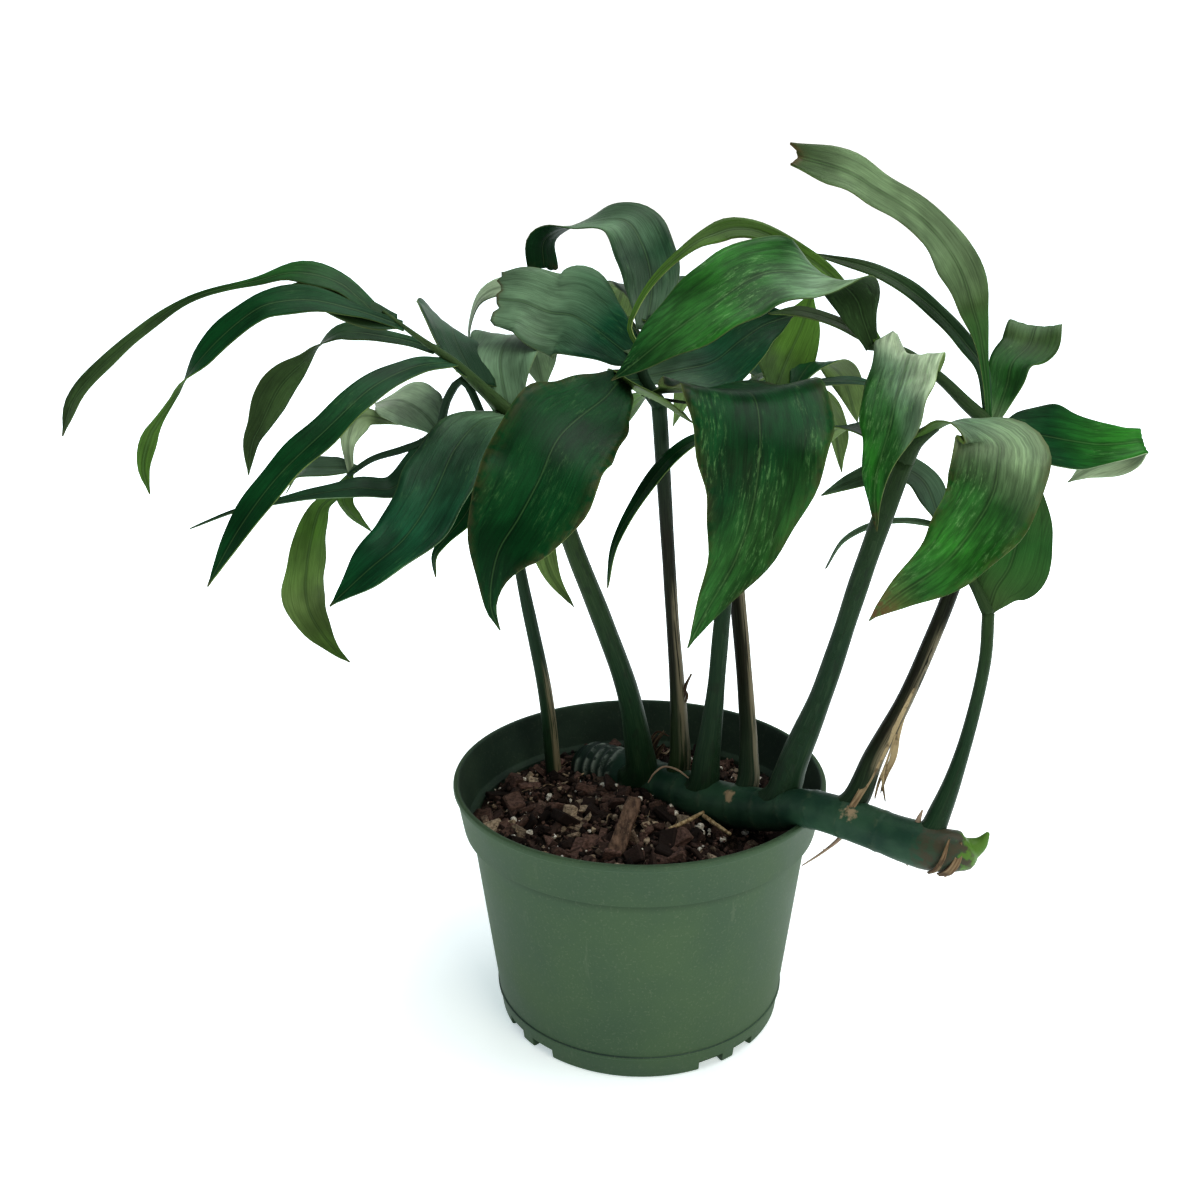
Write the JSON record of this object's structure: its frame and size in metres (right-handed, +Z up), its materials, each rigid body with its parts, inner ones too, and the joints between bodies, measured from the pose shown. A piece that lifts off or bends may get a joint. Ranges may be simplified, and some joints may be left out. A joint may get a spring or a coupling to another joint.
{
  "type": "potted dragon tail plant",
  "caption": "Climbing houseplant with deeply lobed leaves on long stalks, its creeping stem growing out over the rim of a round nursery pot.",
  "frame": {"origin": "middle of the pot's flat underside", "axes": "+Z up, -Y towards the viewer who sees the creeping stem leave the pot at the right, +X to that viewer's right"},
  "size_m": [0.45, 0.2694, 0.3763],
  "materials": {
    "pot_plastic": "matt, thin green moulded plastic",
    "bark_mix": "rough, moist bark with perlite",
    "stem": "satin, dark green",
    "leaf": "satin, dark green with paler veins",
    "dry_leaf": "dry and papery",
    "bark": "rough",
    "straw": "dry"
  },
  "bodies": {
    "root": {"pot": "pot_plastic", "soil": "bark_mix", "rhizome": "stem", "leaf_1": "leaf", "leaf_2": "leaf", "leaf_3": "leaf", "leaf_4": "leaf", "leaf_5": "leaf", "leaf_6": "leaf", "leaf_7": "leaf", "leaf_8": "leaf", "dry_sheath": "dry_leaf", "bark_slab": "bark", "straw_1": "straw", "straw_2": "straw"}
  },
  "joints": []
}
